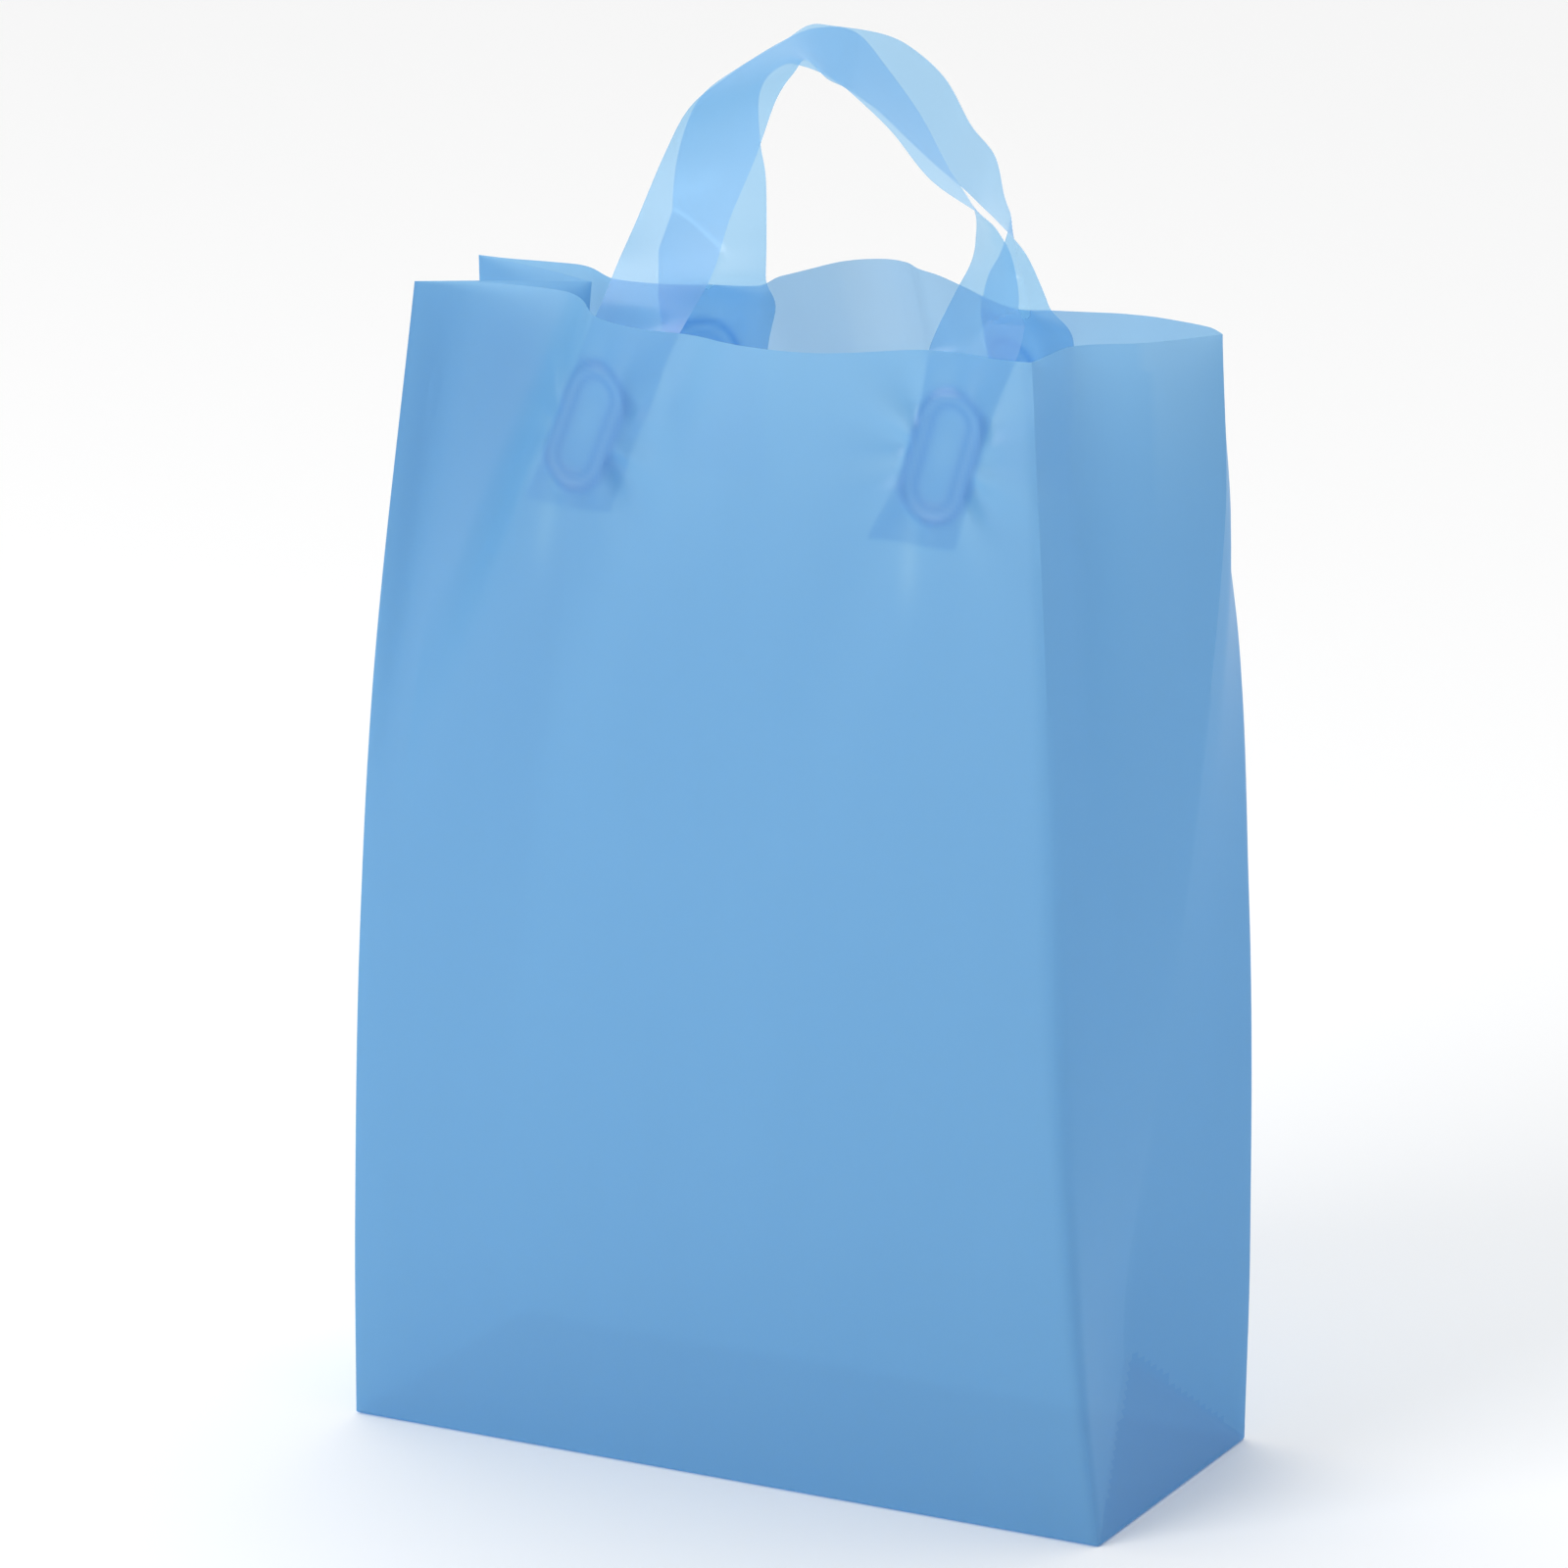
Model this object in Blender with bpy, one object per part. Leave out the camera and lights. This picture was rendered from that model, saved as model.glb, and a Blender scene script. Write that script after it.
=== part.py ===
"""Translucent plastic carrier bag: a gusseted film bag and two looped film handles.

Metres, +Z up. The origin is the middle of the base and the front panel faces -Y.
"""

import bmesh
import bpy
from mathutils import Vector
from mathutils.bvhtree import BVHTree

# Driving dimensions
BAG_WIDTH = 0.254
BAG_DEPTH = 0.106
BAG_HEIGHT = 0.356
STRIP_WIDTH = 0.033
FILM = 0.0005
WELD_GAP = 0.0009
MM = 0.001

# The upright folds of the bag, going round it from the front left. Each row is a height up the
# film and then x and y there, in millimetres. The side pleats are pushed in just above the base;
# higher up the right one is pulled out and the left one is folded in.
FOLDS = {
    "front_left": [(0, -127, -53), (60, -128, -51), (150, -127, -48), (240, -122, -45), (356, -109, -40)],
    "front_right": [(0, 127, -53), (60, 119, -51), (150, 110, -48), (240, 105, -46), (356, 97, -43)],
    "right_pleat": [(0, 127, 0), (42, 112, -4), (120, 119, 0), (200, 128, 4), (300, 136, 7), (356, 134, 8)],
    "back_right": [(0, 127, 53), (60, 129, 51), (180, 129, 46), (280, 120, 49), (356, 99, 33)],
    "back_left": [(0, -127, 53), (60, -127, 50), (150, -126, 40), (240, -121, 24), (356, -110, 1)],
    "left_pleat": [(0, -127, 0), (42, -112, 4), (120, -100, 2), (200, -86, -4), (300, -68, -13), (356, -61, -16)],
}

# How far each wall stands out of the straight line between its two folds at the rim: the share of
# the way along the wall, then millimetres. The handles draw the walls in, and the film between
# them bows out. Each wall is named by the fold that it starts from.
RIM_WAVES = {
    "front_left": [(0, 0), (0.12, -9), (0.24, -11), (0.36, 5), (0.53, 21), (0.68, 19), (0.84, 2), (1, 0)],
    "front_right": [(0, 0), (0.5, 5), (1, 0)],
    "right_pleat": [(0, 0), (0.5, 4), (1, 0)],
    "back_right": [(0, 0), (0.2, -8), (0.32, 6), (0.44, 32), (0.57, 12), (0.68, -6), (0.84, 1), (1, 0)],
    "back_left": [(0, 0), (0.5, -1), (1, 0)],
    "left_pleat": [(0, 0), (0.5, 1), (1, 0)],
}
WAVE_START = 170 * MM
ROW_HEIGHTS = [3, 20, 42, 80, 120, 160, 200, 235, 265, 290, 310, 330, 345, 356]
PANEL_COLUMNS = 20
PLEAT_COLUMNS = 4

# Each handle strip from its left end inside the panel, up over the loop and down to its right end:
# a point of its middle line in millimetres, and the way its width points.
FRONT_STRIP = [
    ((-54, -43, 295), (0.98, -0.2, 0)),
    ((-42, -42, 328), (0.99, -0.1, 0)),
    ((-31, -40, 352), (1, -0.07, 0.1)),
    ((-21, -33, 382), (0.99, -0.08, 0.14)),
    ((-10, -24, 414), (0.96, -0.2, 0.19)),
    ((-2, -20, 425), (0.85, -0.45, 0.18)),
    ((7, -18, 431), (0.64, -0.77, 0.07)),
    ((16, -18, 432), (0.5, -0.85, -0.15)),
    ((32, -18, 425), (0.25, -0.95, -0.1)),
    ((44, -19, 414), (0.21, -0.98, 0.03)),
    ((57, -22, 401), (0.3, -0.95, 0.09)),
    ((70, -26, 391), (0.42, -0.9, 0.15)),
    ((77, -31, 381), (0.62, -0.74, 0.18)),
    ((79, -38, 367), (0.86, -0.49, 0.12)),
    ((77, -41, 354), (0.96, -0.28, 0.1)),
    ((70, -43, 328), (0.98, -0.2, 0.1)),
    ((60, -45, 296), (0.98, -0.2, 0)),
]
BACK_STRIP = [
    ((-40, 10, 296), (1, 0, 0)),
    ((-36, 9, 328), (1, 0, 0)),
    ((-32, 8, 352), (1, 0, 0.02)),
    ((-32, 11, 383), (0.98, -0.06, 0.1)),
    ((-32, 15, 401), (0.9, -0.35, 0.12)),
    ((-27, 18, 414), (0.7, -0.65, 0.15)),
    ((-17, 19, 422), (0.5, -0.85, 0.1)),
    ((-6, 19, 426), (0.4, -0.9, -0.05)),
    ((6, 19, 427), (0.35, -0.88, -0.2)),
    ((17, 19, 423), (0.27, -0.85, -0.4)),
    ((34, 19, 410), (0.15, -0.9, -0.35)),
    ((43, 19, 401), (0.18, -0.96, -0.2)),
    ((52, 18, 391), (0.2, -0.98, -0.04)),
    ((60, 18, 380), (0.35, -0.92, 0.1)),
    ((65, 17, 367), (0.7, -0.7, 0.1)),
    ((64, 17, 352), (0.95, -0.3, 0.05)),
    ((60, 18, 328), (1, -0.1, 0)),
    ((53, 20, 296), (1, 0, 0)),
]
STRIP_STEPS = 5
STRIP_COLUMNS = 8
WELDED_BELOW = 344 * MM
FREE_ABOVE = 358 * MM
STEEPEST = 0.5
RIM_CLEARANCE = 6 * MM

FILM_COLOUR = (0.17, 0.41, 0.73, 1)
HANDLE_COLOUR = (0.5, 0.74, 0.93, 1)


def clear_scene():
    for thing in list(bpy.data.objects):
        bpy.data.objects.remove(thing)


def film_material(name, colour, roughness):
    material = bpy.data.materials.new(name)
    material.use_nodes = True
    surface = material.node_tree.nodes["Principled BSDF"]
    surface.inputs["Base Color"].default_value = colour
    surface.inputs["Roughness"].default_value = roughness
    surface.inputs["Metallic"].default_value = 0
    return material


def along(rows, at):
    """The smooth curve through rows of (where, value, ...), read at one place."""
    last = len(rows) - 2
    k = next((i for i in range(last) if at < rows[i + 1][0]), last)
    before, start, end, after = (rows[max(0, min(last + 1, i))] for i in (k - 1, k, k + 1, k + 2))
    span = end[0] - start[0]
    t = (at - start[0]) / span
    values = []
    for i in range(1, len(start)):
        leave = (end[i] - before[i]) / (end[0] - before[0])
        arrive = (after[i] - start[i]) / (after[0] - start[0])
        values.append(
            (2 * t**3 - 3 * t**2 + 1) * start[i]
            + (t**3 - 2 * t**2 + t) * span * leave
            + (3 * t**2 - 2 * t**3) * end[i]
            + (t**3 - t**2) * span * arrive
        )
    return values


def fold_point(name, height):
    x, y = along(FOLDS[name], height / MM)
    return Vector((x * MM, y * MM, height))


def wall_point(wall, share, height):
    """A point of the film: the wall's number, how far along that wall, and the height."""
    names = list(FOLDS)
    name = names[wall]
    start = fold_point(name, height)
    end = fold_point(names[(wall + 1) % len(names)], height)
    chord = (end - start).normalized()
    outward = Vector((chord.y, -chord.x, 0))
    rise = max(0, (height - WAVE_START) / (BAG_HEIGHT - WAVE_START))
    wave = along(RIM_WAVES[name], share)[0] * MM
    return start.lerp(end, share) + outward * wave * rise * rise * (3 - 2 * rise)


def base_places():
    """The wall and share of each point round the base, in order."""
    columns = [PANEL_COLUMNS, PLEAT_COLUMNS, PLEAT_COLUMNS] * 2
    return [(wall, step / count) for wall, count in enumerate(columns) for step in range(count)]


def raise_ring(bm, ring):
    """Extrudes a closed ring of points and returns the new ring in the same order."""
    edges = [bm.edges.get((point, ring[i - 1])) for i, point in enumerate(ring)]
    made = bmesh.ops.extrude_edge_only(bm, edges=edges)["geom"]
    new = {thing for thing in made if isinstance(thing, bmesh.types.BMVert)}
    return [next(e.other_vert(v) for e in v.link_edges if e.other_vert(v) in new) for v in ring]


def make_bag():
    """The bag: a flat base whose edge is raised row by row into the six walls, then given thickness."""
    bm = bmesh.new()
    bmesh.ops.create_grid(bm, x_segments=PANEL_COLUMNS, y_segments=2 * PLEAT_COLUMNS, size=0.5)
    for point in bm.verts:
        point.co.x *= BAG_WIDTH
        point.co.y *= BAG_DEPTH
    places = base_places()
    edge_points = [v for v in bm.verts if v.is_boundary]
    ring = []
    for wall, share in places:
        target = wall_point(wall, share, 0)
        ring.append(min(edge_points, key=lambda v: (v.co - target).length))
    for height in ROW_HEIGHTS:
        ring = raise_ring(bm, ring)
        for point, (wall, share) in zip(ring, places):
            point.co = wall_point(wall, share, height * MM)
    bmesh.ops.recalc_face_normals(bm, faces=bm.faces)
    base = min(bm.faces, key=lambda f: f.calc_center_median().z)
    if base.normal.z > 0:
        bmesh.ops.reverse_faces(bm, faces=bm.faces)
    mesh = bpy.data.meshes.new("bag_body")
    bm.to_mesh(mesh)
    bm.free()
    bag = bpy.data.objects.new("bag_body", mesh)
    bpy.context.collection.objects.link(bag)
    wall = bag.modifiers.new("film", "SOLIDIFY")
    wall.thickness = FILM
    wall.offset = -1
    wall.use_even_offset = True
    mesh.materials.append(film_material("frosted film", FILM_COLOUR, 0.45))
    return bag


def film_tree(bag):
    """The bag's outer skin, for finding where a wall lies."""
    bm = bmesh.new()
    bm.from_mesh(bag.data)
    tree = BVHTree.FromBMesh(bm)
    bm.free()
    return tree


def weld_to_wall(point, tree, side, depth_in):
    """Lays a point of a strip against the inside of the wall on one side (-1 front, 1 back). Above
    the weld the strip comes free, but it stays inside the rim until it is clear of it."""
    above = min(1, max(0, (point.z - WELDED_BELOW) / (FREE_ABOVE - WELDED_BELOW)))
    height = min(point.z, BAG_HEIGHT - MM)
    outside = Vector((point.x, side * BAG_WIDTH, height))
    hit, normal = tree.ray_cast(outside, Vector((0, -side, 0)))[:2]
    against = side * hit.y - (FILM + WELD_GAP + depth_in) / max(STEEPEST, abs(normal.y))
    free = against + (side * point.y - against) * above * above * (3 - 2 * above)
    limit = against + max(0, point.z - BAG_HEIGHT - RIM_CLEARANCE)
    return Vector((point.x, side * min(free, limit), point.z))


def cap_strip(bm, ring):
    """Closes a strip's end with one small face between its two sides for each column."""
    for k in range(STRIP_COLUMNS):
        bm.faces.new((ring[k], ring[k + 1], ring[-2 - k], ring[-1 - k]))


def make_strip(name, rows, tree, side):
    """A flat film strip swept along its middle line, its ends laid on the inside of a wall."""
    line = [(i, *middle, *width) for i, (middle, width) in enumerate(rows)]
    steps = (len(rows) - 1) * STRIP_STEPS
    stations = [along(line, i / STRIP_STEPS) for i in range(steps + 1)]
    middles = [Vector(s[:3]) * MM for s in stations]
    columns = [2 * k / STRIP_COLUMNS - 1 for k in range(STRIP_COLUMNS + 1)]
    outline = [(c, 0) for c in columns] + [(c, 1) for c in reversed(columns)]
    bm = bmesh.new()
    ring = [bm.verts.new() for _ in outline]
    for a, b in zip(ring, ring[1:] + ring[:1]):
        bm.edges.new((a, b))
    cap_strip(bm, ring)
    for i, station in enumerate(stations):
        if i:
            ring = raise_ring(bm, ring)
        tangent = (middles[min(steps, i + 1)] - middles[max(0, i - 1)]).normalized()
        width = Vector(station[3:])
        width = (width - tangent * width.dot(tangent)).normalized() * (STRIP_WIDTH / 2)
        face = width.cross(tangent).normalized()
        faces_wall = face.y * side > 0
        for vert, (across, layer) in zip(ring, outline):
            corner = middles[i] + width * across + face * FILM * layer
            depth_in = FILM * (1 - layer if faces_wall else layer)
            vert.co = weld_to_wall(corner, tree, side, depth_in)
    cap_strip(bm, ring)
    bmesh.ops.recalc_face_normals(bm, faces=bm.faces)
    mesh = bpy.data.meshes.new(name)
    bm.to_mesh(mesh)
    bm.free()
    strip = bpy.data.objects.new(name, mesh)
    bpy.context.collection.objects.link(strip)
    mesh.materials.append(film_material(name + " film", HANDLE_COLOUR, 0.3))
    return strip


def build():
    clear_scene()
    bag = make_bag()
    tree = film_tree(bag)
    make_strip("front_handle", FRONT_STRIP, tree, -1)
    make_strip("back_handle", BACK_STRIP, tree, 1)


build()
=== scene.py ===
"""The looks of a translucent plastic carrier bag: a pleated film bag with two looped strip handles."""

import math

import bmesh
import bpy
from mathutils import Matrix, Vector, noise
from mathutils.bvhtree import BVHTree


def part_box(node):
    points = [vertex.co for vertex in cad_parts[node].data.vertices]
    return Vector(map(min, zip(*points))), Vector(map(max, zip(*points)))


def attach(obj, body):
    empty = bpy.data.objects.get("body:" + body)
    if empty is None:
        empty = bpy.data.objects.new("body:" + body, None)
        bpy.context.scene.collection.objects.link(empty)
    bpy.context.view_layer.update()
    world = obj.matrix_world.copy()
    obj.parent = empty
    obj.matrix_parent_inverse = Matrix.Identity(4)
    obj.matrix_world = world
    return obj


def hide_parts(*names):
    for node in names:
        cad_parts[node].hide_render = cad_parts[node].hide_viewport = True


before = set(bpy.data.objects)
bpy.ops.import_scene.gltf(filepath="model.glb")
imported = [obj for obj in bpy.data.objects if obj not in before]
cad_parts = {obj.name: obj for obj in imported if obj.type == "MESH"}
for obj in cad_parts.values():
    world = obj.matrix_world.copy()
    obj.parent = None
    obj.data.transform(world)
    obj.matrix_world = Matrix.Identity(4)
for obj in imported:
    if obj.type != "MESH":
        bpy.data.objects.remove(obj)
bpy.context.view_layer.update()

MM = 0.001
BAG_LOW, BAG_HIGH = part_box("bag_body")
RIM = BAG_HIGH.z

# ---------------------------------------------------------------- the bag's folds, in millimetres
# Each upright fold, going round the bag from the front left: a height up the film, then x and y.
FOLDS = {
    "front_left": [(0, -127, -53), (60, -128, -51), (150, -127, -48), (240, -122, -45), (356, -109, -40)],
    "front_right": [(0, 127, -53), (60, 119, -51), (150, 110, -48), (240, 105, -46), (356, 97, -43)],
    "right_pleat": [(0, 127, 0), (42, 112, -4), (120, 119, 0), (200, 128, 4), (300, 136, 7), (356, 134, 8)],
    "back_right": [(0, 127, 53), (60, 129, 51), (180, 129, 46), (280, 120, 45), (356, 98, 27)],
    "back_left": [(0, -127, 53), (60, -127, 50), (150, -126, 40), (240, -121, 24), (356, -110, 1)],
    "left_pleat": [(0, -127, 0), (42, -112, 4), (120, -100, 2), (200, -86, -4), (300, -68, -13), (356, -61, -16)],
}
# How round each fold is at the base, half way up and at the rim.
FOLD_RADII = {
    "front_left": [(0, 2), (120, 2.5), (240, 2.5), (356, 1.5)],
    "front_right": [(0, 3), (60, 5), (200, 6), (356, 4)],
    "right_pleat": [(0, 0.6), (356, 0.6)],
    "back_right": [(0, 3), (120, 3), (240, 5), (356, 10)],
    "back_left": [(0, 2), (120, 3), (240, 3), (356, 1.5)],
    "left_pleat": [(0, 0.6), (356, 0.6)],
}
# How far each wall bows out of the straight line between its folds at the rim: the share of the
# way along the wall, then the distance.
RIM_WAVES = {
    "front_left": [
        (0, 0), (0.08, -7), (0.15, -9.5), (0.23, -9.5), (0.27, -5), (0.32, 6), (0.4, 10), (0.48, 8),
        (0.55, 11), (0.61, 11), (0.69, 8), (0.76, 5), (0.84, 0.5), (0.93, 1), (1, 0),
    ],
    "front_right": [(0, 0), (0.15, -5), (0.3, -8), (0.6, -1), (1, 0)],
    "right_pleat": [(0, 0), (0.3, 3.5), (1, 0)],
    "back_right": [
        (0, 0), (0.09, -4.5), (0.12, -6), (0.16, -9), (0.22, -2.5), (0.28, 10), (0.33, 20), (0.37, 26),
        (0.4, 33), (0.44, 35), (0.49, 28), (0.525, 11), (0.55, 0), (0.58, -4), (0.64, -5.5), (0.7, -9),
        (0.77, -9), (0.82, -3), (0.88, -3), (0.94, -2.5), (1, 0),
    ],
    "back_left": [(0, 0), (0.5, -1), (1, 0)],
    "left_pleat": [(0, 0), (0.5, 1), (1, 0)],
}
# How far the rim dips under its full height, along the same walls.
RIM_DIPS = {
    "front_left": [(0, 0), (0.23, 0), (0.32, 2.5), (0.4, 3.5), (0.6, 4.9), (0.69, 5), (0.84, 2.2), (1, 2.5)],
    "front_right": [(0, 2.5), (0.3, 1), (1, 0.5)],
    "right_pleat": [(0, 0.5), (1, 2)],
    "back_right": [(0, 2), (0.16, 1.5), (0.24, 0), (0.54, 0), (0.56, 2), (0.77, 2), (0.84, 0), (1, 0)],
    "back_left": [(0, 0), (1, 0)],
    "left_pleat": [(0, 0), (1, 0)],
}
NAMES = list(FOLDS)
WAVE_START = 170
WAVE_LEAN = 0.35
DIP_START = 290
LOWEST_DIP = 6
APEX_HEIGHT = 42
APEX_INSIDE = 108
BASE_WIDTH = 254
BASE_DEPTH = 106
BASE_RADIUS = 1.5
PANEL_COLUMNS = 200
PLEAT_COLUMNS = 20
ROW_STEP = 4.0
FINE_ABOVE = 270
FINE_STEP = 1.3

# Where each handle end is sealed to its wall: the wall's side, the middle of the oval seal, and
# how far the strip leans from upright, in degrees.
WELDS = [
    (-1, -45, 321, 22),
    (-1, 69, 323, 16),
    (1, -37, 322, 4),
    (1, 57, 323, 8),
]
SEAL_SPLIT = -12
# Painted highlights on the front film start above this height.
PAINTED_HIGHLIGHTS_ABOVE = 240
WELD_LENGTH = 40
WELD_WIDTH = 20
# Painted light on the back panel's rim: its film is painted paler above this height, where light from behind
# shines through the single layer, and less so towards its ends.
BACK_RIM_PAINTED_LIGHT = 0.65
BACK_RIM_LIGHT_ABOVE = 290
BACK_RIM_LIGHT_RISE = 45
STRIP_PALE = 0.2

# ---------------------------------------------------------------- the handle strips
# Each row is a place on a strip's middle line, the direction across the strip there, and its width.
FRONT_STRIP = [
    ((-52, -49, 296), (1, -0.08, -0.02), 30),
    ((-44, -50, 314), (1, -0.04, 0.01), 28),
    ((-38, -49, 330), (1, -0.01, 0.04), 30),
    ((-33, -49, 343), (0.99, -0.08, 0.1), 31),
    ((-28, -46, 355), (0.99, -0.1, 0.07), 32),
    ((-24, -40, 368), (1, -0.06, 0.04), 33),
    ((-21, -34, 382), (0.99, -0.08, 0.14), 33),
    ((-15, -28, 401), (0.99, -0.14, 0.09), 33),
    ((-10, -23, 416), (0.96, -0.19, 0.19), 33),
    ((-2, -20, 425), (0.87, -0.46, 0.17), 33),
    ((7, -18, 432), (0.65, -0.76, 0.03), 33),
    ((16, -17, 432), (0.52, -0.81, -0.27), 33),
    ((25, -17, 431), (0.34, -0.89, -0.31), 33),
    ((32, -17, 425), (0.18, -0.98, -0.07), 33),
    ((44, -18, 414), (0.2, -0.98, 0.05), 33),
    ((57, -22, 401), (0.3, -0.95, 0.09), 33),
    ((72, -27, 392), (0.52, -0.85, 0.13), 33),
    ((77, -31, 386), (0.61, -0.75, 0.23), 33),
    ((80, -35, 380), (0.72, -0.65, 0.23), 33),
    ((81, -40, 371), (0.86, -0.49, 0.14), 33),
    ((79, -43, 361), (0.93, -0.34, 0.15), 33),
    ((77, -43, 350), (1, -0.02, 0.09), 28),
    ((72, -44, 334), (0.99, 0.01, 0.12), 25),
    ((67, -44, 315), (1, 0, 0.04), 25),
    ((59, -44, 296), (1, -0.02, -0.01), 29),
]
BACK_STRIP = [
    ((-36, 19, 292), (0.95, 0.29, -0.09), 28),
    ((-35, 14, 311), (0.96, 0.26, -0.08), 29),
    ((-33, 10, 330), (0.95, 0.28, -0.06), 30),
    ((-31, 6, 350), (1, 0.01, 0.05), 33),
    ((-31, 8, 367), (0.99, -0.06, 0.11), 33),
    ((-32, 10, 383), (0.98, -0.06, 0.2), 33),
    ((-33, 13, 396), (0.95, -0.29, 0.1), 33),
    ((-31, 15, 409), (0.85, -0.51, 0.14), 33),
    ((-24, 17, 417), (0.65, -0.75, 0.08), 33),
    ((-15, 18, 423), (0.49, -0.87, 0), 33),
    ((-8, 19, 426), (0.39, -0.9, -0.18), 33),
    ((1, 19, 425), (0.39, -0.88, -0.28), 33),
    ((16, 19, 421), (0.27, -0.85, -0.46), 33),
    ((24, 19, 417), (0.16, -0.87, -0.46), 33),
    ((33, 19, 410), (0.11, -0.91, -0.4), 33),
    ((42, 19, 400), (0.18, -0.96, -0.22), 33),
    ((50, 19, 393), (0.19, -0.97, -0.12), 33),
    ((55, 18, 385), (0.26, -0.96, 0.1), 33),
    ((59, 18, 379), (0.3, -0.93, 0.22), 33),
    ((63, 18, 371), (0.52, -0.83, 0.21), 33),
    ((63, 18, 361), (0.76, -0.63, 0.18), 33),
    ((63, 18, 353), (0.88, -0.45, 0.17), 33),
    ((64, 18, 345), (0.96, -0.25, 0.13), 33),
    ((63, 20, 328), (0.98, -0.15, 0.08), 32),
    ((59, 24, 296), (0.98, -0.15, 0.05), 32),
]
STRIP_STEPS = 12
STRIP_COLUMNS = 24
WELDED_BELOW = 344
FREE_ABOVE = 358
WELD_GAP = 0.48
RIM_CLEARANCE = 8
STEEPEST = 0.5


def along(rows, at):
    """The smooth curve through rows of (where, value, ...), read at one place."""
    last = len(rows) - 2
    k = next((i for i in range(last) if at < rows[i + 1][0]), last)
    before, start, end, after = (rows[max(0, min(last + 1, i))] for i in (k - 1, k, k + 1, k + 2))
    span = end[0] - start[0]
    t = (at - start[0]) / span
    values = []
    for i in range(1, len(start)):
        leave = (end[i] - before[i]) / (end[0] - before[0])
        arrive = (after[i] - start[i]) / (after[0] - start[0])
        values.append(
            (2 * t**3 - 3 * t**2 + 1) * start[i]
            + (t**3 - 2 * t**2 + t) * span * leave
            + (3 * t**2 - 2 * t**3) * end[i]
            + (t**3 - t**2) * span * arrive
        )
    return values


def ease(t):
    t = min(1.0, max(0.0, t))
    return t * t * (3 - 2 * t)


def seal_place(weld, x, z):
    """How far a point is outside a seal's oval, and the point in the strip's own directions (across,
    along)."""
    wx, wz, lean = weld[1:]
    a = math.radians(lean)
    across = (x - wx) * math.cos(a) - (z - wz) * math.sin(a)
    up = (x - wx) * math.sin(a) + (z - wz) * math.cos(a)
    beyond = max(0, abs(up) - (WELD_LENGTH - WELD_WIDTH) / 2)
    return math.hypot(across, beyond) - WELD_WIDTH / 2, across, up


def racetrack(side, x, z):
    """The place of a point at the nearest seal on this side."""
    return min((seal_place(weld, x, z) for weld in WELDS if weld[0] == side), key=lambda place: place[0])


def bump_at(distance, width):
    return math.exp(-((distance / width) ** 2))


def seal_relief(side, x, z):
    """The film's relief round a heat seal, in millimetres outwards: an oval ridge with a fainter
    one inside it, and puckers that run out from it."""
    out, across, up = racetrack(side, x, z)
    ridge = 0.7 * bump_at(out, 1.8) + 0.4 * bump_at(out + 4, 1.6)
    inside = -0.5 * ease((-out - 1) / 4)
    angle = math.atan2(up, across)
    fade = math.exp(-max(0, out) / 13) * ease((out + 1) / 5)
    puckers = (math.sin(5 * angle + 0.6) + 0.7 * math.sin(9 * angle + 2.1)) * 1.1 * fade
    return ridge + inside + puckers


def seal_ring_painted_shade(side, x, z):
    """Painted shade round a heat seal: how much the film's colour is deepened, strongest along its rings, where
    the relief's shade falls.
    """
    out = racetrack(side, x, z)[0]
    return min(1, bump_at(out, 1.5) + 0.8 * bump_at(out + 4, 1.4))


def film_relief(side, x, z, share):
    """Everything that lifts the film off its smooth form, in millimetres outwards."""
    soft = noise.noise(Vector((x / 70, side * 3.0, z / 110))) * 1.5
    soft += noise.noise(Vector((x / 26, side * 7.0 + 5, z / 60))) * 0.35
    edge = ease(share * 8) * ease((1 - share) * 8)
    lift = soft * edge * ease(z / 60)
    if side and z > 240:
        lift += seal_relief(side, x, z) * ease((z - 240) / 30)
    return lift


def corner_places(height):
    return [Vector(along(FOLDS[name], height)) for name in NAMES]


COLUMNS = [PANEL_COLUMNS, PLEAT_COLUMNS, PLEAT_COLUMNS] * 2
PLACES = [(wall, step) for wall, count in enumerate(COLUMNS) for step in range(count)]
SIDES = {0: -1, 3: 1}


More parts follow.
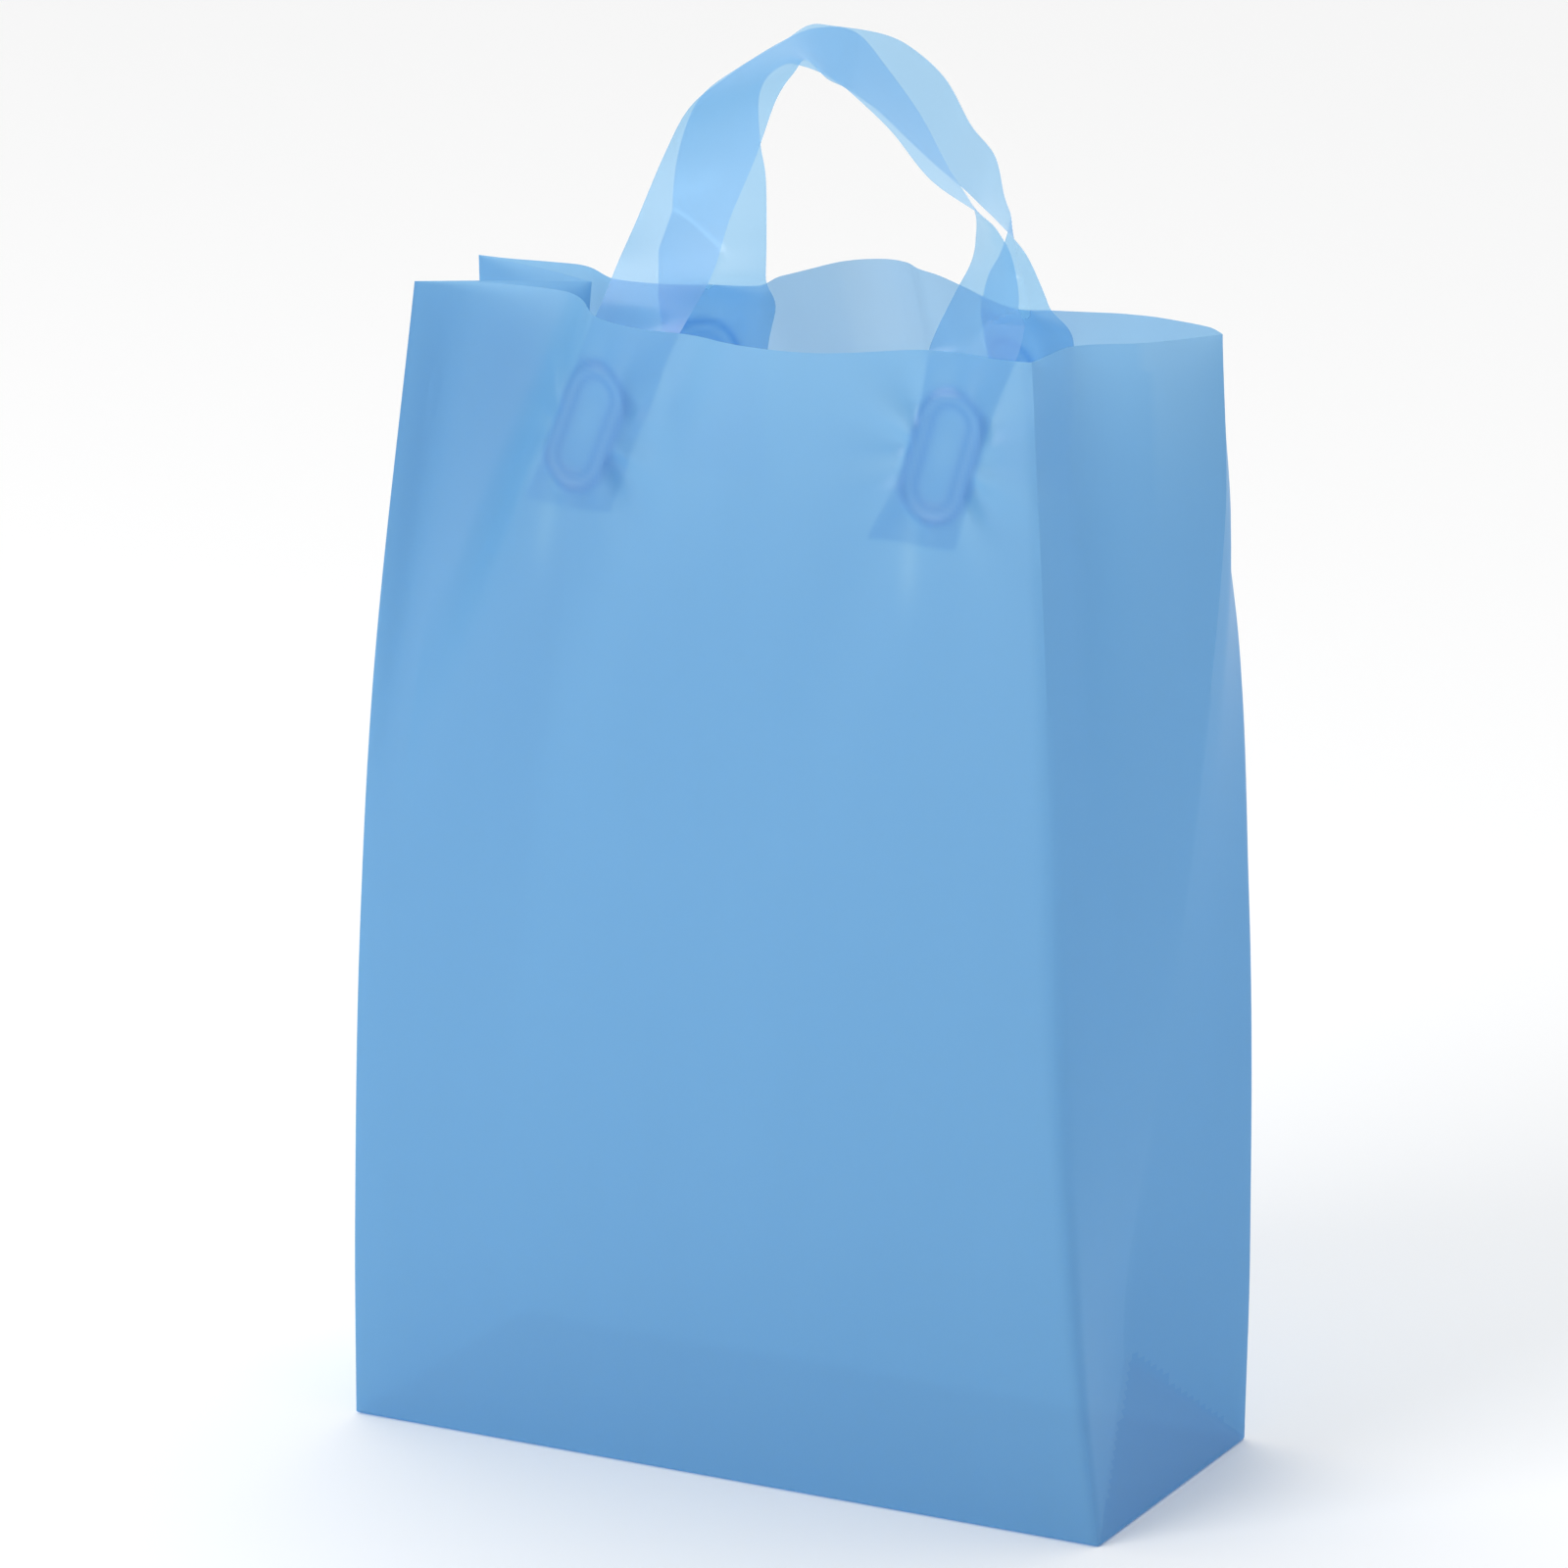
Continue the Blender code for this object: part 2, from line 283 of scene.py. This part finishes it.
def bag_row(height):
    """The points round the bag at one height, in millimetres."""
    corners = corner_places(height)
    radii = [along(FOLD_RADII[name], height)[0] for name in NAMES]
    rise = ease((height - WAVE_START) / (RIM / MM - WAVE_START))
    low = height < APEX_HEIGHT
    row = round(height / APEX_HEIGHT * PLEAT_COLUMNS, 6)
    inset = 0
    if height < BASE_RADIUS:
        inset = BASE_RADIUS - math.sqrt(BASE_RADIUS**2 - (BASE_RADIUS - height) ** 2)
    points = []
    for wall, step in PLACES:
        share = step / COLUMNS[wall]
        start, end = corners[wall], corners[(wall + 1) % 6]
        chord = end - start
        length = chord.length
        chord = chord / length
        outward = Vector((chord.y, -chord.x))
        if low and wall in (1, 2, 4, 5):
            name, following = NAMES[wall], NAMES[(wall + 1) % 6]
            if wall in (1, 4):
                flat = low_point((name, following), row, step)
            else:
                flat = low_point((following, name), row, PLEAT_COLUMNS - step)
        else:
            flat = start.lerp(end, share)
            slid = share
            if wall == 0:
                slid = min(1, share + (RIM / MM - height) * WAVE_LEAN / length * ease(share * 12))
            flat += outward * along(RIM_WAVES[NAMES[wall]], slid)[0] * rise
            if wall in SIDES:
                flat += outward * film_relief(SIDES[wall], flat.x, height, share)
        reach_start, reach_end = radii[wall], radii[(wall + 1) % 6]
        if share * length < reach_start:
            before = (corners[wall] - corners[wall - 1]).normalized()
            flat = round_corner(flat, start, before, chord, share * length, reach_start, 1)
        elif (1 - share) * length < reach_end:
            after = (corners[(wall + 2) % 6] - end).normalized()
            flat = round_corner(flat, end, chord, after, (1 - share) * length, reach_end, -1)
        if inset:
            flat.x = max(inset - BASE_WIDTH / 2, min(BASE_WIDTH / 2 - inset, flat.x))
            flat.y = max(inset - BASE_DEPTH / 2, min(BASE_DEPTH / 2 - inset, flat.y))
        dip = along(RIM_DIPS[NAMES[wall]], share)[0] * ease((height - DIP_START) / (RIM / MM - DIP_START))
        points.append(Vector((flat.x, flat.y, height - dip)) * MM)
    return points


def low_point(side, row, column):
    """A point of a pleat below its apex: row counts up from the base, column from the corner."""
    corner_name, pleat_name = side
    k = row / PLEAT_COLUMNS
    corner = Vector(along(FOLDS[corner_name], APEX_HEIGHT * k))
    foot = Vector(along(FOLDS[corner_name], 0))
    apex = Vector(along(FOLDS[pleat_name], APEX_HEIGHT))
    diagonal = foot.lerp(apex, k)
    middle = Vector((foot.x, 0)).lerp(apex, k)
    if column <= row and row:
        return corner.lerp(diagonal, column / row)
    return diagonal.lerp(middle, (column - row) / (PLEAT_COLUMNS - row))


def round_corner(flat, corner, before, after, distance, reach, way):
    """Moves a point near a fold on to the round that joins the two walls."""
    t = 0.5 + way * 0.5 * distance / reach
    a = corner - before * reach
    b = corner + after * reach
    curve = a * (1 - t) ** 2 + corner * 2 * t * (1 - t) + b * t * t
    straight = corner + (after if way > 0 else -before) * distance
    return flat + curve - straight


def raise_ring(bm, ring):
    """Extrudes a closed ring of points and returns the new ring in the same order."""
    edges = [bm.edges.get((point, ring[i - 1])) for i, point in enumerate(ring)]
    made = bmesh.ops.extrude_edge_only(bm, edges=edges)["geom"]
    new = {thing for thing in made if isinstance(thing, bmesh.types.BMVert)}
    return [next(e.other_vert(v) for e in v.link_edges if e.other_vert(v) in new) for v in ring]


def painted_highlights_below_seals(x, z):
    """Painted highlights on the front film: how much paler it is painted just below each seal and on the puckers
    beside it, where the bulging film catches the light.
    """
    pale_and_painted_light = 0
    for weld in WELDS:
        if weld[0] > 0:
            continue
        out, across, up = seal_place(weld, x, z)
        below = up + WELD_LENGTH / 2 + 14
        pale_and_painted_light += 0.75 * bump_at(across + 1 + below * 0.2, 3.5) * bump_at(below, 12)
        pale_and_painted_light += 0.5 * bump_at(across, 4) * bump_at(up - 2, 9)
        rays = max(0, math.sin(7 * math.atan2(up, across) + 1.2))
        pale_and_painted_light += 0.6 * rays * ease(out / 4) * math.exp(-max(0, out) / 9)
    return pale_and_painted_light


def mark_film(bm, is_strip):
    """Notes where the film's colour is deeper, as painted shade along the rings of the seals, and where it is
    paler:
    painted highlights below and beside the front seals, the strips where they are sealed, and painted light at
    the rim of the back panel."""
    seal_ring_shade = bm.verts.layers.float.new("seal_ring_shade")
    pale_and_painted_light = bm.verts.layers.float.new("pale_and_painted_light")
    for point in bm.verts:
        x, y, z = point.co / MM
        side = -1 if y < SEAL_SPLIT else 1
        if z > FINE_ABOVE:
            # Painted shade along the rings of the seals.
            point[seal_ring_shade] = seal_ring_painted_shade(side, x, z)
        if is_strip:
            point[pale_and_painted_light] = STRIP_PALE * ease((WELDED_BELOW + 8 - z) / 8)
        elif side < 0 and z > PAINTED_HIGHLIGHTS_ABOVE:
            # Painted highlights below and beside the front seals.
            point[pale_and_painted_light] = painted_highlights_below_seals(x, z)
        elif side > 0:
            # Painted light: the back panel's rim is painted paler, less so towards its ends.
            ends = ease((x + 70) / 50) * (1 - 0.6 * ease((x - 50) / 50))
            point[pale_and_painted_light] = BACK_RIM_PAINTED_LIGHT * ease((z - BACK_RIM_LIGHT_ABOVE) / BACK_RIM_LIGHT_RISE) * ends


def finished(name, bm, material, is_strip=False):
    mark_film(bm, is_strip)
    mesh = bpy.data.meshes.new(name)
    bm.to_mesh(mesh)
    bm.free()
    mesh.materials.append(material)
    mesh.shade_smooth()
    mesh.set_sharp_from_angle(angle=math.radians(28))
    piece = bpy.data.objects.new(name, mesh)
    bpy.context.collection.objects.link(piece)
    return piece


def spread(low, high, step):
    """Heights from just above low up to high, evenly spaced by about one step."""
    count = round((high - low) / step)
    return [low + (high - low) * k / count for k in range(1, count + 1)]


def row_heights():
    low = spread(0, APEX_HEIGHT, APEX_HEIGHT / PLEAT_COLUMNS)
    middle = spread(APEX_HEIGHT, FINE_ABOVE, ROW_STEP)
    return [0, 0.15, 0.5, 1.1] + low + middle + spread(FINE_ABOVE, RIM / MM, FINE_STEP)


def make_bag(material):
    """The bag: a flat base whose edge is raised row by row into the walls."""
    bm = bmesh.new()
    bmesh.ops.create_grid(bm, x_segments=PANEL_COLUMNS, y_segments=2 * PLEAT_COLUMNS, size=0.5)
    bmesh.ops.scale(bm, vec=(BASE_WIDTH * MM, BASE_DEPTH * MM, 1), verts=bm.verts)
    first = math.atan2(-BASE_DEPTH, -BASE_WIDTH)
    edge = [v for v in bm.verts if v.is_boundary]
    ring = sorted(edge, key=lambda v: (math.atan2(v.co.y, v.co.x) - first + 1e-5) % math.tau)
    for point, target in zip(ring, bag_row(0)):
        point.co = target
    rings = [ring]
    for height in row_heights()[1:]:
        ring = raise_ring(bm, ring)
        for point, target in zip(ring, bag_row(height)):
            point.co = target
        rings.append(ring)
    crease_pleats(bm, rings[3:])
    bmesh.ops.recalc_face_normals(bm, faces=bm.faces)
    bm.normal_update()
    base = min(bm.faces, key=lambda f: f.calc_center_median().z)
    if base.normal.z > 0:
        bmesh.ops.reverse_faces(bm, faces=bm.faces)
    mark_double_film(bm)
    return finished("bag", bm, material)


def mark_double_film(bm):
    """Marks the base triangle of each pleat, where the film is folded double."""
    double = bm.faces.layers.float.new("double")
    slope = APEX_HEIGHT / (BASE_DEPTH / 2)
    for face in bm.faces:
        x, y, z = face.calc_center_median() / MM
        if abs(x) > APEX_INSIDE and 0.2 < z < APEX_HEIGHT - abs(y) * slope:
            face[double] = 1


def crease_pleats(bm, rings):
    """Splits the squares along each pleat's diagonal folds, so the folds run true."""
    starts = [PLACES.index((wall, 0)) for wall in range(6)]
    size = len(PLACES)
    for row in range(1, PLEAT_COLUMNS):
        for wall in (1, 2, 4, 5):
            if wall in (1, 4):
                low, high = starts[wall] + row, starts[wall] + row + 1
            else:
                low, high = starts[wall] + PLEAT_COLUMNS - row, starts[wall] + PLEAT_COLUMNS - row - 1
            pair = (rings[row][low % size], rings[row + 1][high % size])
            if not bm.edges.get(pair):
                bmesh.ops.connect_verts(bm, verts=pair)


def wall_tree(bag):
    """The bag's outer skin, for finding where a wall lies."""
    bm = bmesh.new()
    bm.from_mesh(bag.data)
    tree = BVHTree.FromBMesh(bm)
    bm.free()
    return tree


def weld_to_wall(point, tree, side):
    """Lays a point of a strip against the inside of the wall on one side (-1 front, 1 back). Above
    the seal the strip comes free, but it stays inside the rim until it is clear of it."""
    above = ease((point.z / MM - WELDED_BELOW) / (FREE_ABOVE - WELDED_BELOW))
    height = min(point.z, RIM - LOWEST_DIP * MM)
    outside = Vector((point.x, side * 2 * BAG_HIGH.x, height))
    hit, normal = tree.ray_cast(outside, Vector((0, -side, 0)))[:2]
    against = side * hit.y - WELD_GAP * MM / max(STEEPEST, abs(normal.y))
    free = against + (side * point.y - against) * above
    limit = against + max(0, point.z - RIM - RIM_CLEARANCE * MM)
    return Vector((point.x, side * min(free, limit), point.z))


def make_strip(name, rows, tree, side, material):
    """A flat film strip swept along its middle line, its ends laid on the inside of a wall."""
    line = [(i, *middle, *across, width) for i, (middle, across, width) in enumerate(rows)]
    steps = (len(rows) - 1) * STRIP_STEPS
    stations = [along(line, i / STRIP_STEPS) for i in range(steps + 1)]
    middles = [Vector(s[:3]) * MM for s in stations]
    bm = bmesh.new()
    row = [bm.verts.new() for _ in range(STRIP_COLUMNS + 1)]
    edges = [bm.edges.new(pair) for pair in zip(row, row[1:])]
    for i, station in enumerate(stations):
        if i:
            made = bmesh.ops.extrude_edge_only(bm, edges=edges)["geom"]
            new = {thing for thing in made if isinstance(thing, bmesh.types.BMVert)}
            row = [next(e.other_vert(v) for e in v.link_edges if e.other_vert(v) in new) for v in row]
            edges = [bm.edges.get(pair) for pair in zip(row, row[1:])]
        width = Vector(station[3:6]).normalized() * (station[6] * MM / 2)
        for column, vert in enumerate(row):
            corner = middles[i] + width * (2 * column / STRIP_COLUMNS - 1)
            vert.co = weld_to_wall(corner, tree, side)
    return finished(name, bm, material, is_strip=True)


# ---------------------------------------------------------------- materials
STREAKS = (1, 1, 0.12)
FROST_COLOUR = (0.28, 0.68, 0.97, 1)
DOUBLE_DEPTH = 0.4
DEEPER = 1.8
PALER = 0.45
GLOSS_LEAST = 0.04
GLOSS_MOST = 0.25


def add(tree, kind, feeds, **settings):
    """Adds a shader node. Each of its feeds is a value, or the output of another node."""
    node = tree.nodes.new(kind)
    for setting, value in settings.items():
        setattr(node, setting, value)
    for socket, value in feeds.items():
        if isinstance(value, bpy.types.NodeSocket):
            tree.links.new(value, node.inputs[socket])
        else:
            node.inputs[socket].default_value = value
    return node


def mixed(tree, share, first, second, blend="MIX"):
    """The output of a node that mixes two colours."""
    feeds = {"Factor": share, "A": first, "B": second}
    return add(tree, "ShaderNodeMix", feeds, data_type="RGBA", blend_type=blend).outputs["Result"]


def noted(tree, name):
    """The output that reads one of the notes made on the film."""
    return add(tree, "ShaderNodeAttribute", {}, attribute_name=name).outputs["Fac"]


def film_material(name, through, passed_on, clear, frost_share, gloss_roughness, grain):
    """Blown film: light passes through tinted, part of it straight and the rest scattered."""
    material = bpy.data.materials.new(name)
    material.use_nodes = True
    tree = material.node_tree
    tree.nodes.clear()
    place = add(tree, "ShaderNodeTexCoord", {}).outputs["Object"]
    streaks = add(tree, "ShaderNodeMapping", {"Vector": place, "Scale": STREAKS}).outputs["Vector"]
    thick = add(tree, "ShaderNodeTexNoise", {"Vector": streaks, "Scale": 60, "Detail": 4}).outputs["Fac"]
    weaker = (*[c * 0.975 for c in through], 1)
    stronger = (*[min(1, c * 1.02) for c in through], 1)
    tint = mixed(tree, thick, weaker, stronger)
    double = add(tree, "ShaderNodeMath", {0: noted(tree, "double"), 1: DOUBLE_DEPTH}, operation="MULTIPLY")
    feeds = {0: noted(tree, "seal_ring_shade"), 1: double.outputs["Value"]}
    more = add(tree, "ShaderNodeMath", feeds, operation="MAXIMUM").outputs["Value"]
    # Painted shade: the seal rings are painted a deeper colour; the pleats' double film deepens it as well.
    doubled_and_ring_shade = mixed(tree, more, tint, (*[c**DEEPER for c in through], 1))
    # Painted light: the paler notes paint highlights below the front seals and light on the back panel's rim; on
    # the strips they make the sealed ends paler.
    tint_with_painted_light = mixed(tree, noted(tree, "pale_and_painted_light"), doubled_and_ring_shade, (*[c**PALER for c in through], 1))
    lost = mixed(tree, 1, tint_with_painted_light, (passed_on, passed_on, passed_on, 1), "MULTIPLY")
    straight = add(tree, "ShaderNodeBsdfTransparent", {"Color": tint_with_painted_light}).outputs["BSDF"]
    scattered = add(tree, "ShaderNodeBsdfTranslucent", {"Color": lost}).outputs["BSDF"]
    inside = add(tree, "ShaderNodeMixShader", {"Fac": clear, 1: scattered, 2: straight}).outputs["Shader"]
    frost = add(tree, "ShaderNodeBsdfDiffuse", {"Color": FROST_COLOUR}).outputs["BSDF"]
    frosted = add(tree, "ShaderNodeMixShader", {"Fac": frost_share, 1: inside, 2: frost}).outputs["Shader"]
    grains = add(tree, "ShaderNodeTexNoise", {"Vector": place, "Scale": 1400, "Detail": 2}).outputs["Fac"]
    feeds = {"Height": grains, "Strength": grain, "Distance": 0.0002}
    bump = add(tree, "ShaderNodeBump", feeds).outputs["Normal"]
    feeds = {"Color": (1, 1, 1, 1), "Roughness": gloss_roughness, "Normal": bump}
    gloss = add(tree, "ShaderNodeBsdfAnisotropic", feeds).outputs["BSDF"]
    slant = add(tree, "ShaderNodeLayerWeight", {"Blend": 0.5}).outputs["Facing"]
    steep = add(tree, "ShaderNodeMath", {0: slant, 1: 5}, operation="POWER").outputs["Value"]
    feeds = {"Value": steep, "To Min": GLOSS_LEAST, "To Max": GLOSS_MOST}
    share = add(tree, "ShaderNodeMapRange", feeds).outputs["Result"]
    skin = add(tree, "ShaderNodeMixShader", {"Fac": share, 1: frosted, 2: gloss}).outputs["Shader"]
    add(tree, "ShaderNodeOutputMaterial", {"Surface": skin})
    return material


bag_film = film_material("bag film", (0.36, 0.635, 0.905), 0.77, 0.14, 0.27, 0.4, 0.25)
handle_film = film_material("handle film", (0.435, 0.7, 0.922), 0.95, 0.72, 0.06, 0.3, 0.1)

# ---------------------------------------------------------------- the pieces
bag = make_bag(bag_film)
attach(bag, "root")
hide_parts("bag_body")

skin_tree = wall_tree(bag)
STRIPS = (
    ("front_loop", "front_handle", FRONT_STRIP, -1),
    ("back_loop", "back_handle", BACK_STRIP, 1),
)
for strip_name, node_name, strip_rows, strip_side in STRIPS:
    strip = make_strip(strip_name, strip_rows, skin_tree, strip_side, handle_film)
    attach(strip, "root")
    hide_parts(node_name)


# ---------------------------------------------------------------- floor, light and camera
FLOOR_COLOUR = (0.98, 0.98, 0.98, 1)
LOOK_AT = Vector((-0.0052, 0, 0.204))
CAMERA_TURN = 27.33
CAMERA_TILT = 15.83
CAMERA_BACK = 2.6
CAMERA_LENS = 198.4
BRIGHTEST_TOWARD = Vector((-0.4, 0.85, 0.5)).normalized()
DIMMEST = 0.3
BRIGHTEST = 1.5


def make_floor():
    bm = bmesh.new()
    bmesh.ops.create_grid(bm, x_segments=1, y_segments=1, size=30)
    mesh = bpy.data.meshes.new("floor")
    bm.to_mesh(mesh)
    bm.free()
    floor = bpy.data.objects.new("floor", mesh)
    floor.location.z = -0.2 * MM
    bpy.context.collection.objects.link(floor)
    paint = bpy.data.materials.new("pale floor")
    paint.use_nodes = True
    surface = paint.node_tree.nodes["Principled BSDF"]
    surface.inputs["Base Color"].default_value = FLOOR_COLOUR
    surface.inputs["Roughness"].default_value = 0.9
    surface.inputs["Specular IOR Level"].default_value = 0.1
    mesh.materials.append(paint)


def make_light(name, place, size, power):
    """A soft square light that looks at the middle of the bag."""
    data = bpy.data.lights.new(name, "AREA")
    data.size = size
    data.energy = power
    lamp = bpy.data.objects.new(name, data)
    lamp.location = place
    aim = Vector((0, 0, 0.2)) - Vector(place)
    lamp.rotation_euler = aim.to_track_quat("-Z", "Y").to_euler()
    bpy.context.collection.objects.link(lamp)


def make_camera():
    data = bpy.data.cameras.new("camera")
    data.lens = CAMERA_LENS
    data.sensor_width = 36
    data.clip_end = 100
    camera = bpy.data.objects.new("camera", data)
    turn, tilt = math.radians(CAMERA_TURN), math.radians(CAMERA_TILT)
    back = Vector((math.sin(turn) * math.cos(tilt), -math.cos(turn) * math.cos(tilt), math.sin(tilt)))
    camera.location = LOOK_AT + back * CAMERA_BACK
    camera.rotation_euler = (-back).to_track_quat("-Z", "Y").to_euler()
    bpy.context.collection.objects.link(camera)
    bpy.context.scene.camera = camera


def make_world():
    """Soft white light all round, brightest from behind, above and to the left."""
    world = bpy.data.worlds.new("studio")
    world.use_nodes = True
    nodes, links = world.node_tree.nodes, world.node_tree.links
    sky = nodes.new("ShaderNodeTexCoord")
    toward = nodes.new("ShaderNodeVectorMath")
    toward.operation = "DOT_PRODUCT"
    toward.inputs[1].default_value = BRIGHTEST_TOWARD
    links.new(sky.outputs["Generated"], toward.inputs[0])
    glow = nodes.new("ShaderNodeMapRange")
    glow.inputs["From Min"].default_value = -0.3
    glow.inputs["To Min"].default_value = DIMMEST
    glow.inputs["To Max"].default_value = BRIGHTEST
    links.new(toward.outputs["Value"], glow.inputs["Value"])
    links.new(glow.outputs["Result"], nodes["Background"].inputs["Strength"])
    nodes["Background"].inputs["Color"].default_value = (1, 1, 1, 1)
    bpy.context.scene.world = world


make_floor()
make_world()
make_light("key", (-1.1, -2.0, 1.3), 1.4, 34)
make_camera()

scene = bpy.context.scene
scene.view_settings.view_transform = "Standard"
scene.cycles.max_bounces = 12
scene.cycles.transmission_bounces = 10
scene.cycles.transparent_max_bounces = 24
